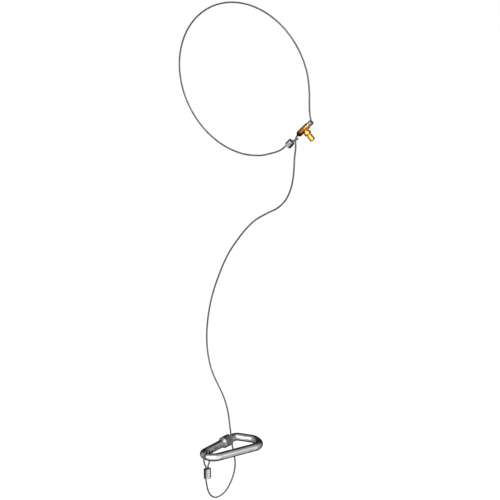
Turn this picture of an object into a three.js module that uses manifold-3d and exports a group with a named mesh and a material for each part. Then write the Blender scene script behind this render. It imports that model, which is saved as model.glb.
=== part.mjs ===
// Adjustable wire rope sling: a large top loop with a brass cable gripper and a crimped running eye,
// an S-bent drop, and a screw-lock carabiner held in a crimped lower eye.
// Millimetres, +Z up. The origin is the inside top of the loop, where the sling hangs.
import * as THREE from 'three';
import { mergeVertices } from 'three/addons/utils/BufferGeometryUtils.js';
import Module from 'manifold-3d';

const wasm = await Module();
wasm.setup();

// ---------- driving dimensions ----------
const ROPE_RADIUS = 1.5;
const ROPE_SIDES = 8;
const JOINT_GAP = 0.15;
const LOOP_RADIUS = 130.7;
const LOOP_CENTRE = new THREE.Vector3(-1.4, 0, -131.2);
const ROPE_BORE = 1.95;

const GRIPPER_FOOT = new THREE.Vector3(105.95, 0, -207.4);
const GRIPPER_LEAN = THREE.MathUtils.degToRad(43);
const GRIPPER_LENGTH = 41;
const BODY_RADIUS = 5.3;
const BODY_BORE = 3;
const WEDGE_TOP = 18.8;
const CAP_RADIUS = 5;
const CAP_SHOULDER = 11.5;
const SPRING_SEAT = 3.75;
const SCREW_STATION = 20.5;
const BUSH_HOLE = 3.9;
const SPANNER_SIZE = 9;
const SPANNER_FLAT = { start: 6.2, end: 8.8 };
const PLUNGER = { foot: 17.5, stem: 2.7, shoulder: 31.9, head: 4.4, mouth: 3.95 };
const CAGE = { start: 12.4, end: 17.2, radius: 3.1 };
const BALL_STATION = 14.8;
const BALL_CIRCLE = 2.85;
const BALL_RADIUS = 1.05;
const BALL_POCKET = 1.35;
const BALL_ANGLES = [90, 210, 330].map((degrees) => THREE.MathUtils.degToRad(degrees));

const UPPER_FERRULE = { length: 11.5, radius: 3.9, spread: 2.2 };
const UPPER_FERRULE_CENTRE = new THREE.Vector3(91.5, 0, -224);
const UPPER_FERRULE_LEAN = THREE.MathUtils.degToRad(40.4);
const LOWER_FERRULE = { length: 18.5, radius: 4.1, spread: 2.6 };
const LOWER_FERRULE_CENTRE = new THREE.Vector3(-50, -41.8, -856.6);
const LOWER_FERRULE_TURN = THREE.MathUtils.degToRad(60);
const FERRULE_BORE = 1.85;

const ROD_RADIUS = 7.1;
const CARABINER_SEAT = new THREE.Vector3(-20.7, -12.2, -821.8);
const CARABINER_YAW = THREE.MathUtils.degToRad(62.7);
const CARABINER_TILT = THREE.MathUtils.degToRad(3);
const TILT_AXIS = new THREE.Vector3(0.82, 0.572, 0).normalize();
const HINGE = new THREE.Vector3(-30.3, 27.56, 0);
const GATE_ANGLE = THREE.MathUtils.degToRad(19);
const NOSE_FACE = 60.4;
const GATE_TIP = 59.9;
const TONGUE_START = 55.9;
const LATCH_STATION = 58.2;
const ROD_END = -7;
const KNUCKLE_RADIUS = 6.8;
const HINGE_TONGUE = { radius: 6.2, thickness: 5, slot: 5.8 };
const NOSE_TONGUE = { halfWidth: 5.4, thickness: 4.6, slot: 5.4 };
const HINGE_PIN = { radius: 1.5, hole: 1.8, length: 13.6 };
const LATCH_PIN = { radius: 1, hole: 1.3, length: 13.2 };
const GATE_BORE = { radius: 3.1, start: 4, end: 40 };
const SLEEVE = { start: 36.9, end: 54.7, bore: 7.5, radius: 10.2 };
const RING_RADIUS = 9;
const ROUND_SEGMENTS = 24;

// ---------- materials ----------
function metal(color, roughness, metalness = 1) {
  return new THREE.MeshStandardMaterial({ color, roughness, metalness });
}

const ropeSteel = metal(0x9a9a98, 0.45);
const ferruleSteel = metal(0xa7a6ac, 0.4);
const brass = metal(0xd9a04a, 0.35);
const darkBrass = metal(0x4a2f1a, 0.5);
const plungerSteel = metal(0xb9b4ae, 0.3);
const forgedSteel = metal(0xb4b6ba, 0.3);
const sleeveSteel = metal(0x75777b, 0.45);
const ringSteel = metal(0xd8dadd, 0.25);
const innerSteel = metal(0x8d8f92, 0.4);

// ---------- geometry helpers ----------
function vec(x, y, z) {
  return new THREE.Vector3(x, y, z);
}

// A path whose every extrusion step lands on one of its own stations.
class StationCurve extends THREE.Curve {
  constructor(stations) {
    super();
    this.stations = stations;
  }

  indexAt(u) {
    return Math.round(u * (this.stations.length - 1));
  }

  getPoint(u, target = new THREE.Vector3()) {
    return target.copy(this.stations[this.indexAt(u)]);
  }

  getPointAt(u, target) {
    return this.getPoint(u, target);
  }

  getTangent(u, target = new THREE.Vector3()) {
    const index = this.indexAt(u);
    const before = this.stations[Math.max(index - 1, 0)];
    const after = this.stations[Math.min(index + 1, this.stations.length - 1)];
    return target.subVectors(after, before).normalize();
  }

  getTangentAt(u, target) {
    return this.getTangent(u, target);
  }
}

function roundSection(radius, sides) {
  const corners = [];
  for (let side = 0; side < sides; side += 1) {
    const angle = (2 * Math.PI * side) / sides;
    corners.push(new THREE.Vector2(radius * Math.cos(angle), radius * Math.sin(angle)));
  }
  return new THREE.Shape(corners);
}

function tube(stations, radius, sides) {
  return new THREE.ExtrudeGeometry(roundSection(radius, sides), {
    steps: stations.length - 1,
    extrudePath: new StationCurve(stations),
  });
}

// A ring or solid of revolution about +Y; the profile runs up its outer side.
function revolve(profile, segments = ROUND_SEGMENTS) {
  const points = profile.map(([radius, height]) => new THREE.Vector2(radius, height));
  return new THREE.LatheGeometry(points, segments);
}

function revolveAboutX(profile, segments = ROUND_SEGMENTS) {
  return revolve(profile, segments).rotateZ(-Math.PI / 2);
}

function pinAlongZ(radius, length, x, y, segments = 16) {
  return new THREE.CylinderGeometry(radius, radius, length, segments).rotateX(Math.PI / 2).translate(x, y, 0);
}

function block(low, high) {
  const size = new THREE.Vector3().subVectors(high, low);
  const middle = new THREE.Vector3().addVectors(high, low).multiplyScalar(0.5);
  return new THREE.BoxGeometry(size.x, size.y, size.z).translate(middle.x, middle.y, middle.z);
}

function toSolid(geometry) {
  const bare = geometry.clone();
  bare.deleteAttribute('normal');
  bare.deleteAttribute('uv');
  const merged = mergeVertices(bare, 1e-4);
  const kept = [];
  const index = merged.index.array;
  for (let corner = 0; corner < index.length; corner += 3) {
    const [a, b, c] = [index[corner], index[corner + 1], index[corner + 2]];
    if (a !== b && b !== c && a !== c) {
      kept.push(a, b, c);
    }
  }
  const vertProperties = new Float32Array(merged.attributes.position.array);
  return new wasm.Manifold(new wasm.Mesh({ numProp: 3, vertProperties, triVerts: new Uint32Array(kept) }));
}

function toGeometry(solid) {
  const mesh = solid.getMesh();
  const geometry = new THREE.BufferGeometry();
  geometry.setAttribute('position', new THREE.BufferAttribute(new Float32Array(mesh.vertProperties), 3));
  geometry.setIndex(new THREE.BufferAttribute(new Uint32Array(mesh.triVerts), 1));
  geometry.computeVertexNormals();
  return geometry;
}

function shaped(base, joined = [], cuts = []) {
  let solid = toSolid(base);
  for (const extra of joined) {
    solid = solid.add(toSolid(extra));
  }
  for (const tool of cuts) {
    solid = solid.subtract(toSolid(tool));
  }
  return toGeometry(solid);
}

function place(group, name, geometry, material) {
  const mesh = new THREE.Mesh(geometry, material);
  mesh.name = name;
  group.add(mesh);
}

function helix(radius, start, end, turns, stepsPerTurn) {
  const stations = [];
  const steps = Math.round(turns * stepsPerTurn);
  for (let step = 0; step <= steps; step += 1) {
    const angle = (2 * Math.PI * step) / stepsPerTurn;
    const height = start + ((end - start) * step) / steps;
    stations.push(vec(radius * Math.cos(angle), height, radius * Math.sin(angle)));
  }
  return stations;
}

// ---------- places shared by several pieces ----------
const gripperAxis = vec(Math.sin(GRIPPER_LEAN), 0, Math.cos(GRIPPER_LEAN));
const screwAxis = vec(Math.cos(GRIPPER_LEAN), 0, -Math.sin(GRIPPER_LEAN));
const upperFerruleAxis = vec(Math.sin(UPPER_FERRULE_LEAN), 0, Math.cos(UPPER_FERRULE_LEAN));
const upperFerruleAcross = vec(Math.cos(UPPER_FERRULE_LEAN), 0, -Math.sin(UPPER_FERRULE_LEAN));
const lowerFerruleAcross = vec(Math.cos(LOWER_FERRULE_TURN), Math.sin(LOWER_FERRULE_TURN), 0);

function onGripper(station) {
  return GRIPPER_FOOT.clone().addScaledVector(gripperAxis, station);
}

function onUpperFerrule(station, side) {
  const point = UPPER_FERRULE_CENTRE.clone().addScaledVector(upperFerruleAxis, station);
  return point.addScaledVector(upperFerruleAcross, side * UPPER_FERRULE.spread);
}

function onLowerFerrule(station, side) {
  const point = LOWER_FERRULE_CENTRE.clone().addScaledVector(vec(0, 0, 1), station);
  return point.addScaledVector(lowerFerruleAcross, side * LOWER_FERRULE.spread);
}

function onLoop(degrees) {
  const angle = THREE.MathUtils.degToRad(degrees);
  return vec(LOOP_RADIUS * Math.cos(angle), 0, LOOP_RADIUS * Math.sin(angle)).add(LOOP_CENTRE);
}

// ---------- wire rope ----------
function ropeRoutes() {
  const topLoop = [vec(129.8, 0, -158), vec(129.3, 0, -144.9)];
  for (let degrees = 0; degrees <= 285; degrees += 15) {
    topLoop.push(onLoop(degrees));
  }
  topLoop.push(vec(52.1, 0, -250), vec(61, 0, -246), vec(68.7, 0, -242), vec(76.3, 0, -236.7));
  topLoop.push(onUpperFerrule(-8, -1), onUpperFerrule(-JOINT_GAP, -1));

  const gripperRope = [
    vec(103.2, 0, -228.7), vec(103, 0, -223), vec(102.9, 0, -218), vec(103.2, 0, -213.6),
    vec(104.3, 0, -209.8), vec(106, 0, -207.3), onGripper(32.5),
    vec(129.7, 0, -181.7), vec(130.8, 0, -179.7), vec(131.6, 0, -177.8), vec(132.3, 0, -175.9),
    vec(132.5, 0, -174.4), vec(132.3, 0, -172.9), vec(131.8, 0, -171.1), vec(131.2, 0, -168.4),
    vec(130.6, 0, -165), vec(130.2, 0, -161.6), vec(129.85, 0, -158.3),
  ];

  const drop = [
    vec(103.2, 0, -229), vec(101.1, 0, -247), vec(100.3, 0, -265), vec(98.3, 0, -285), vec(93.3, 0, -305.2),
    vec(83.6, 0, -325.8), vec(67.3, 0, -343.6), vec(44.8, 0, -358.8), vec(21.8, 0, -376.2), vec(1, 0, -399.1),
    vec(-14.9, 0, -421), vec(-29, 0, -442.8), vec(-40.7, 0, -465.2), vec(-52.9, 0, -494.1), vec(-64, 0, -525),
    vec(-72.1, 0, -554.9), vec(-77.2, 0, -584.9), vec(-79.6, 0, -616.9), vec(-77.8, 0, -644.8),
    vec(-72.7, 0, -668.8), vec(-65.4, 0, -686.9), vec(-55.6, 0, -703.3), vec(-45.8, 0, -719.5),
    vec(-38.5, 0, -736.9), vec(-33.9, 0, -755.4), vec(-31.2, 0, -774.3), vec(-28.7, 0, -793),
  ];

  const noose = [
    vec(-28.6, 0, -793.3), vec(-26.1, 0, -811), vec(-24.5, 0, -821), vec(-22.9, 1.8, -833),
    vec(-22, 3, -848), vec(-22.6, 2, -860), vec(-24.2, -0.6, -872), vec(-27, -5.6, -885.2),
    vec(-31, -12.4, -897.4), vec(-35.9, -20, -904.6), vec(-41.7, -28.8, -907.2), vec(-46, -36, -902.2),
    vec(-48.5, -40.6, -893), vec(-50.2, -42.8, -882), onLowerFerrule(-13, -1), onLowerFerrule(-JOINT_GAP, -1),
  ];

  const upperSide = [[98.7, 2.5, -217.6], [100.9, 3.4, -216], [103.4, 3.5, -214.6], [105.6, 2.2, -213.5]];
  const upperEye = [onUpperFerrule(JOINT_GAP, -1), onUpperFerrule(6.5, -1)];
  upperEye.push(...upperSide.map(([x, y, z]) => vec(x, -y, z)), vec(106.5, 0, -213));
  upperEye.push(...upperSide.toReversed().map(([x, y, z]) => vec(x, y, z)));
  upperEye.push(onUpperFerrule(6.5, 1), onUpperFerrule(-8, 1));

  const eyeMiddle = -43.5;
  const lowerSide = [[2.5, -844], [4.7, -839.8], [7.3, -835], [9, -829.2], [9.2, -820.6], [6.4, -814.6]];
  const lowerEye = [onLowerFerrule(JOINT_GAP, -1), onLowerFerrule(9.7, -1)];
  lowerEye.push(...lowerSide.map(([y, z]) => vec(-49.3, eyeMiddle - y, z)), vec(-49.3, eyeMiddle, -811.9));
  lowerEye.push(...lowerSide.toReversed().map(([y, z]) => vec(-49.3, eyeMiddle + y, z)));
  lowerEye.push(onLowerFerrule(9.7, 1), onLowerFerrule(-11.5, 1));

  return {
    top_loop_cable: topLoop,
    gripper_cable: gripperRope,
    drop_cable: drop,
    lower_noose_cable: noose,
    upper_eye_cable: upperEye,
    lower_eye_cable: lowerEye,
  };
}

function ferrule({ length, radius, spread }) {
  const outline = new THREE.Shape();
  outline.absarc(spread, 0, radius, -Math.PI / 2, Math.PI / 2, false);
  outline.absarc(-spread, 0, radius, Math.PI / 2, (3 * Math.PI) / 2, false);
  for (const side of [-1, 1]) {
    const bore = new THREE.Path();
    bore.absarc(side * spread, 0, FERRULE_BORE, 0, 2 * Math.PI, true);
    outline.holes.push(bore);
  }
  const body = new THREE.ExtrudeGeometry(outline, { depth: length, bevelEnabled: false, curveSegments: 8 });
  return body.translate(0, 0, -length / 2);
}

function addRope(group) {
  for (const [name, stations] of Object.entries(ropeRoutes())) {
    place(group, name, tube(stations, ROPE_RADIUS, ROPE_SIDES), ropeSteel);
  }
  const upper = new THREE.Group();
  const upperDepth = new THREE.Vector3().crossVectors(upperFerruleAxis, upperFerruleAcross);
  const upperTurn = new THREE.Matrix4().makeBasis(upperFerruleAcross, upperDepth, upperFerruleAxis);
  upper.quaternion.setFromRotationMatrix(upperTurn);
  upper.position.copy(UPPER_FERRULE_CENTRE);
  place(upper, 'upper_ferrule', ferrule(UPPER_FERRULE), ferruleSteel);
  const lower = new THREE.Group();
  lower.rotation.z = LOWER_FERRULE_TURN;
  lower.position.copy(LOWER_FERRULE_CENTRE);
  place(lower, 'lower_ferrule', ferrule(LOWER_FERRULE), ferruleSteel);
  group.add(upper, lower);
}

// ---------- cable gripper: +Y along the rope, +X along the lock screw ----------
function gripperBody() {
  const foot = CAP_SHOULDER + 0.1;
  const shell = revolve([
    [4.4, foot], [5, foot], [BODY_RADIUS, foot + 0.3], [BODY_RADIUS, 26.4], [4.9, 26.8], [4.9, 27.8],
    [BODY_RADIUS, 28.2], [BODY_RADIUS, 29.2], [4.6, 30], [BODY_BORE, 30], [BODY_BORE, WEDGE_TOP],
    [3.6, WEDGE_TOP], [4.4, foot],
  ]);
  const crossHole = revolveAboutX([[0, 0], [BUSH_HOLE, 0], [BUSH_HOLE, 8], [0, 8]], 20);
  crossHole.translate(0, SCREW_STATION, 0);
  return shaped(shell, [], [crossHole]);
}

function endCap() {
  const cup = revolve([
    [ROPE_BORE, 2.5], [3, 2.5], [CAP_RADIUS, 6], [CAP_RADIUS, CAP_SHOULDER], [4.2, CAP_SHOULDER],
    [4.2, CAP_SHOULDER + 0.6], [SPRING_SEAT, CAP_SHOULDER + 0.6], [SPRING_SEAT, 8.2], [ROPE_BORE, 8.2],
    [ROPE_BORE, 2.5],
  ]);
  const flats = [-1, 1].map((side) => {
    const near = (side * SPANNER_SIZE) / 2;
    const [low, high] = [Math.min(near, 2 * near), Math.max(near, 2 * near)];
    return block(vec(-8, SPANNER_FLAT.start, low), vec(8, SPANNER_FLAT.end, high));
  });
  return shaped(cup, [], flats);
}

function releasePlunger() {
  const { foot, stem, shoulder, head, mouth } = PLUNGER;
  const turned = revolve([
    [ROPE_BORE, foot], [3.3, foot], [3.3, foot + 1], [stem, foot + 1], [stem, shoulder], [3.9, shoulder],
    [head, shoulder + 0.5], [head, GRIPPER_LENGTH - 0.3], [head - 0.1, GRIPPER_LENGTH],
    [mouth, GRIPPER_LENGTH], [ROPE_BORE, shoulder - 0.4], [ROPE_BORE, foot],
  ], 20);
  return shaped(turned, [], [block(vec(0.5, 19.2, -1.3), vec(5, 24, 1.3))]);
}

function ballCage() {
  const { start, end, radius } = CAGE;
  const section = [[ROPE_BORE, start], [radius, start], [radius, end], [ROPE_BORE, end], [ROPE_BORE, start]];
  const ring = revolve(section, 18);
  const pockets = BALL_ANGLES.map((angle) => {
    const drill = revolveAboutX([[0, 0.5], [BALL_POCKET, 0.5], [BALL_POCKET, 4], [0, 4]], 12);
    return drill.rotateY(angle).translate(0, BALL_STATION, 0);
  });
  return shaped(ring, [], pockets);
}

function gripBall(angle) {
  const centre = vec(BALL_CIRCLE, 0, 0).applyAxisAngle(vec(0, 1, 0), angle);
  return new THREE.SphereGeometry(BALL_RADIUS, 12, 8).translate(centre.x, BALL_STATION, centre.z);
}

function sideBush() {
  return revolveAboutX([
    [2.3, 3.8], [3.6, 3.8], [3.6, 5.6], [4.9, 5.6], [4.9, 7.2], [5.7, 7.2], [6.3, 7.8], [6.3, 10.6],
    [5.7, 11.2], [2.3, 11.2], [2.3, 3.8],
  ]).translate(0, SCREW_STATION, 0);
}

function lockScrew() {
  return revolveAboutX([
    [0, 3.8], [1, 3.8], [1, 5.2], [2, 5.6], [2, 12.6], [4.1, 12.6], [4.6, 13.1], [4.6, 22.6], [3.9, 23.4],
    [0, 23.4],
  ]).translate(0, SCREW_STATION, 0);
}

function screwPad() {
  return revolveAboutX([[0, 2.9], [1, 2.9], [1, 3.5], [0, 3.5]], 12).translate(0, SCREW_STATION, 0);
}

function gripper() {
  const group = new THREE.Group();
  const across = new THREE.Vector3().crossVectors(screwAxis, gripperAxis);
  group.quaternion.setFromRotationMatrix(new THREE.Matrix4().makeBasis(screwAxis, gripperAxis, across));
  group.position.copy(GRIPPER_FOOT);
  place(group, 'gripper_body', gripperBody(), brass);
  place(group, 'gripper_end_cap', endCap(), darkBrass);
  place(group, 'release_plunger', releasePlunger(), plungerSteel);
  place(group, 'ball_cage', ballCage(), brass);
  BALL_ANGLES.forEach((angle, index) => {
    place(group, `grip_ball_${index + 1}`, gripBall(angle), innerSteel);
  });
  place(group, 'cage_spring', tube(helix(3.2, 8.7, 11.7, 3, 12), 0.3, 6), innerSteel);
  place(group, 'side_bush', sideBush(), brass);
  place(group, 'lock_screw', lockScrew(), brass);
  place(group, 'screw_pad', screwPad(), darkBrass);
  return group;
}

// ---------- carabiner: +X along the spine, +Y towards the gate ----------
function onGateLine(station) {
  return vec(HINGE.x + station * Math.cos(GATE_ANGLE), HINGE.y + station * Math.sin(GATE_ANGLE), 0);
}

// Points of a polyline whose inner corners are rounded to their own radius.
function roundedRoute(corners, degreesPerStep) {
  const points = [corners[0].point];
  for (let index = 1; index < corners.length - 1; index += 1) {
    const { point, radius } = corners[index];
    const back = new THREE.Vector3().subVectors(corners[index - 1].point, point).normalize();
    const ahead = new THREE.Vector3().subVectors(corners[index + 1].point, point).normalize();
    const turn = Math.PI - back.angleTo(ahead);
    const toCentre = new THREE.Vector3().addVectors(back, ahead).normalize();
    const centre = point.clone().addScaledVector(toCentre, radius / Math.cos(turn / 2));
    const steps = Math.ceil(THREE.MathUtils.radToDeg(turn) / degreesPerStep);
    const spoke = point.clone().addScaledVector(back, radius * Math.tan(turn / 2)).sub(centre);
    const hinge = new THREE.Vector3().crossVectors(ahead, back).normalize();
    for (let step = 0; step <= steps; step += 1) {
      points.push(spoke.clone().applyAxisAngle(hinge, (turn * step) / steps).add(centre));
    }
  }
  points.push(corners.at(-1).point);
  return points;
}

function carabinerBody() {
  const route = roundedRoute([
    { point: onGateLine(NOSE_FACE) },
    { point: vec(35.5, 50.2, 0), radius: 10 },
    { point: vec(60.7, 25.6, 0), radius: 20 },
    { point: vec(62.7, 0, 0), radius: 14 },
    { point: vec(-42, 0, 0), radius: 19 },
    { point: onGateLine(-13.8), radius: 8.5 },
    { point: onGateLine(ROD_END) },
  ], 15);
  const rod = tube(route, ROD_RADIUS, 16);
  const toCarabiner = (geometry) => geometry.rotateZ(GATE_ANGLE).translate(HINGE.x, HINGE.y, 0);
  const { halfWidth } = NOSE_TONGUE;
  const noseHalf = NOSE_TONGUE.thickness / 2;
  const noseTongue = block(vec(TONGUE_START, -halfWidth, -noseHalf), vec(NOSE_FACE + 1, halfWidth, noseHalf));
  const latchNotch = block(
    vec(LATCH_STATION - 1.5, -ROD_RADIUS, -4),
    vec(LATCH_STATION + LATCH_PIN.hole, LATCH_PIN.hole, 4),
  );
  const { radius: eyeRadius, thickness } = HINGE_TONGUE;
  const hingeTongue = block(vec(ROD_END - 2, -eyeRadius, -thickness / 2), vec(0, eyeRadius, thickness / 2));
  const hingeEye = pinAlongZ(eyeRadius, thickness, 0, 0, ROUND_SEGMENTS);
  const hingeHole = pinAlongZ(HINGE_PIN.hole, thickness + 3, 0, 0);
  return shaped(
    rod,
    [noseTongue, hingeTongue, hingeEye].map(toCarabiner),
    [latchNotch, hingeHole].map(toCarabiner),
  );
}

function gateBody() {
  const bar = revolveAboutX([
    [0, ROD_END], [ROD_RADIUS, ROD_END], [ROD_RADIUS, GATE_TIP - 1], [ROD_RADIUS - 1, GATE_TIP], [0, GATE_TIP],
  ]);
  const past = ROD_RADIUS + 2;
  const ahead = block(vec(0, -past, -past), vec(GATE_TIP + 1, past, past));
  const keep = shaped(ahead, [pinAlongZ(KNUCKLE_RADIUS, 2 * past, 0, 0, 32)]);
  const rounded = toGeometry(toSolid(bar).intersect(toSolid(keep)));
  const { radius, start, end } = GATE_BORE;
  const springBore = revolveAboutX([[0, start], [radius, start], [radius, end], [0, end]], 16);
  const hingeSlot = block(vec(-past, -past, -HINGE_TONGUE.slot / 2), vec(7, past, HINGE_TONGUE.slot / 2));
  const noseHalf = NOSE_TONGUE.slot / 2;
  const noseSlot = block(vec(TONGUE_START - 0.5, -past, -noseHalf), vec(GATE_TIP + 1, past, noseHalf));
  const holes = [
    pinAlongZ(HINGE_PIN.hole, 2 * past, 0, 0),
    pinAlongZ(LATCH_PIN.hole, 2 * past, LATCH_STATION, 0),
  ];
  return shaped(rounded, [], [springBore, hingeSlot, noseSlot, ...holes]);
}

function screwSleeve() {
  const { start, end, bore, radius } = SLEEVE;
  return revolveAboutX([
    [bore, start], [radius - 0.8, start], [radius, start + 0.8], [radius, end - 0.8], [radius - 0.8, end],
    [bore, end], [bore, start],
  ]);
}

function sleeveRing() {
  const front = SLEEVE.start - 0.3;
  const rear = front - 1.4;
  return revolveAboutX([
    [SLEEVE.bore, rear], [RING_RADIUS - 0.4, rear], [RING_RADIUS, rear + 0.4], [RING_RADIUS, front],
    [SLEEVE.bore, front], [SLEEVE.bore, rear],
  ]);
}

function pushRod() {
  return revolveAboutX([[0, 6.4], [2.7, 6.4], [2.7, 9], [1.4, 9.2], [1.4, 17], [0, 17]], 16);
}

function carabiner() {
  const group = new THREE.Group();
  const tilt = new THREE.Quaternion().setFromAxisAngle(TILT_AXIS, CARABINER_TILT);
  group.quaternion.setFromAxisAngle(vec(0, 0, 1), CARABINER_YAW).premultiply(tilt);
  group.position.copy(CARABINER_SEAT);
  place(group, 'carabiner_body', carabinerBody(), forgedSteel);

  const gate = new THREE.Group();
  gate.position.copy(HINGE);
  gate.rotation.z = GATE_ANGLE;
  place(gate, 'gate', gateBody(), forgedSteel);
  place(gate, 'gate_hinge_pin', pinAlongZ(HINGE_PIN.radius, HINGE_PIN.length, 0, 0), innerSteel);
  const latchPin = pinAlongZ(LATCH_PIN.radius, LATCH_PIN.length, LATCH_STATION, 0, 12);
  place(gate, 'gate_latch_pin', latchPin, innerSteel);
  place(gate, 'gate_push_rod', pushRod(), innerSteel);
  place(gate, 'gate_spring', tube(helix(2.2, 9.9, 39.2, 9, 10), 0.35, 6).rotateZ(-Math.PI / 2), innerSteel);
  place(gate, 'screw_sleeve', screwSleeve(), sleeveSteel);
  place(gate, 'sleeve_ring', sleeveRing(), ringSteel);
  group.add(gate);
  return group;
}

// ---------- the sling ----------
const laidOut = new THREE.Group();
addRope(laidOut);
laidOut.add(gripper(), carabiner());
laidOut.position.copy(LOOP_CENTRE).negate();
laidOut.position.z -= LOOP_RADIUS - ROPE_RADIUS;
const sling = new THREE.Group();
sling.add(laidOut);

export default sling;
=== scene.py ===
"""The looks of a wire rope sling.

A stranded rope with a brass cable gripper, two crimped eyes and a screw-lock carabiner. Shapes are made in
millimetres in the frame of their own sub-part, and set down in metres in the row frame.
"""

import math

import bmesh
import bpy
import numpy as np
from mathutils import Matrix, Vector


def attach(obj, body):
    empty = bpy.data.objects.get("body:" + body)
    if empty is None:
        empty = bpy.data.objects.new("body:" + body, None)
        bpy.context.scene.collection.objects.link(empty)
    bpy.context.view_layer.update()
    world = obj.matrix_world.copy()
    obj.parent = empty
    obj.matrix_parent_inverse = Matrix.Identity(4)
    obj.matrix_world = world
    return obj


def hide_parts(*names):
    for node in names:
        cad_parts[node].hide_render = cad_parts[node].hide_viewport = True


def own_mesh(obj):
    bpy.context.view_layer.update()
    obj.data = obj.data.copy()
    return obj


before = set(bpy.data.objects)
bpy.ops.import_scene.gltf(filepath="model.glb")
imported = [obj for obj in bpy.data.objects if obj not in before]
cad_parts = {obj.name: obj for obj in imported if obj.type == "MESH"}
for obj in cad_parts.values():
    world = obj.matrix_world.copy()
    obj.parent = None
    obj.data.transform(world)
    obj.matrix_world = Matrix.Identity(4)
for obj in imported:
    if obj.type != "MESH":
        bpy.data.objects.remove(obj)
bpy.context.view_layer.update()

MM = 0.001

# ---------- driving dimensions, in millimetres ----------
# Starts, ends, shoulders and stations run up the gripper from its foot, out along the lock screw from the
# rope, and along the gate from its hinge.
ROPE_DIAMETER = 3.0
STRANDS = 6
ROPE_LAY = 20.0
ROPE_STEP = 1.3
STRAND_POINTS = 10
GROOVE_RADIUS = 1.0
WIRES_ROUND = 28
LOOP_RADIUS = 130.7
LOOP_CENTRE = Vector((-1.4, 0, -131.2))
HANG = -LOOP_CENTRE - Vector((0, 0, LOOP_RADIUS - ROPE_DIAMETER / 2))

GRIPPER_FOOT = Vector((105.95, 0, -207.4))
GRIPPER_LEAN = math.radians(43)
GRIPPER_LENGTH = 41.0
ROPE_BORE = 1.95
BODY_START = 11.6
BODY_END = 30.0
BODY_RADIUS = 5.3
BODY_BORE = 3.0
WEDGE_TOP = 18.8
CAP_START = 2.5
CAP_RADIUS = 5.0
CAP_SHOULDER = 11.5
CAP_TOP = 12.1
SPRING_SEAT = {"radius": 3.75, "floor": 8.2}
SPANNER_SIZE = 9.0
SPANNER_FLAT = {"start": 6.2, "end": 8.8}
PLUNGER = {"foot": 17.5, "stem": 2.7, "shoulder": 31.9, "head": 4.4, "mouth": 3.95}
CAGE = {"start": 12.4, "end": 17.2, "radius": 3.1}
CAGE_SPRING = {"low": 8.7, "high": 11.7, "radius": 3.2, "turns": 3, "wire": 0.3}
BALL_STATION = 14.8
BALL_CIRCLE = 2.85
BALL_RADIUS = 1.05
BALL_POCKET = 1.3
BALL_ANGLES = [math.radians(degrees) for degrees in (90, 210, 330)]
SCREW_STATION = 20.5
BUSH = {"start": 3.8, "end": 11.2, "radius": 6.3, "bore": 2.3, "hole": 3.9}
SCREW = {"start": 3.8, "end": 23.4, "radius": 4.6, "stem": 2.0, "slot": 1.2}
PAD = {"start": 2.9, "end": 3.5, "radius": 1.0}

UPPER_FERRULE = {"length": 11.5, "radius": 3.9, "spread": 2.2}
UPPER_FERRULE_CENTRE = Vector((91.5, 0, -224))
UPPER_FERRULE_LEAN = math.radians(40.4)
LOWER_FERRULE = {"length": 18.5, "radius": 4.1, "spread": 2.6}
LOWER_FERRULE_CENTRE = Vector((-50, -41.8, -856.6))
LOWER_FERRULE_TURN = math.radians(60)

ROD_RADIUS = 7.1
CARABINER_SEAT = Vector((-20.7, -12.2, -821.8))
CARABINER_YAW = math.radians(62.7)
CARABINER_TILT = math.radians(3)
TILT_AXIS = Vector((0.82, 0.572, 0))
HINGE = Vector((-30.3, 27.56, 0))
GATE_ANGLE = math.radians(19)
NOSE_FACE = 60.4
GATE_TIP = 59.9
TONGUE_START = 55.9
ROD_END = -7.0
KNUCKLE_RADIUS = 6.8
HINGE_TONGUE = {"radius": 6.2, "thickness": 5.0, "slot": 5.8}
NOSE_TONGUE = {"half_width": 5.4, "thickness": 4.6, "slot": 5.4}
HINGE_PIN = {"radius": 1.5, "hole": 1.6, "tongue_hole": 1.7, "length": 13.6}
LATCH_STATION = 58.2
LATCH_PIN = {"radius": 1.0, "hole": 1.1, "length": 13.2}
SPINE_FLAT = {"start": -21.5, "end": 45.5, "depth": 0.45, "run_out": 1.6}
GATE_BORE = {"radius": 3.1, "start": 4.0, "end": 40.0}
GATE_SPRING = {"low": 9.9, "high": 39.2, "radius": 2.2, "turns": 9, "wire": 0.35}
THREAD = {"start": 37.7, "end": 54.5, "pitch": 2.0, "root": 0.42, "height": 0.62}
SLEEVE = {"start": 36.9, "end": 54.7, "radius": 10.2, "bore": 7.5, "rim": 0.8}
FLUTES = {"count": 40, "depth": 0.34, "start": 2.5, "end": 3.0}
RING = {"radius": 9.0, "length": 1.4, "gap": 0.3}

# ---------- frames ----------
gripper_axis = Vector((math.sin(GRIPPER_LEAN), 0, math.cos(GRIPPER_LEAN)))
screw_axis = Vector((math.cos(GRIPPER_LEAN), 0, -math.sin(GRIPPER_LEAN)))
upper_ferrule_axis = Vector((math.sin(UPPER_FERRULE_LEAN), 0, math.cos(UPPER_FERRULE_LEAN)))
upper_ferrule_across = Vector((math.cos(UPPER_FERRULE_LEAN), 0, -math.sin(UPPER_FERRULE_LEAN)))
lower_ferrule_across = Vector((math.cos(LOWER_FERRULE_TURN), math.sin(LOWER_FERRULE_TURN), 0))

# The sling is laid out round its loop, then moved so that the loop's inside top is the origin.
WORLD = Matrix.Scale(MM, 4) @ Matrix.Translation(HANG)


def frame_of(x_axis, y_axis, z_axis, origin):
    """The matrix that sets a shape made in those axes, in millimetres, down in the row frame."""
    turn = Matrix((x_axis, y_axis, z_axis)).transposed().to_4x4()
    return WORLD @ Matrix.Translation(origin) @ turn


# A lathe turns about its own Z; these lay that axis along the rope, the lock screw or the gate.
Z_TO_Y = Matrix.Rotation(-math.pi / 2, 4, "X")
Z_TO_X = Matrix.Rotation(math.pi / 2, 4, "Y")

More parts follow.
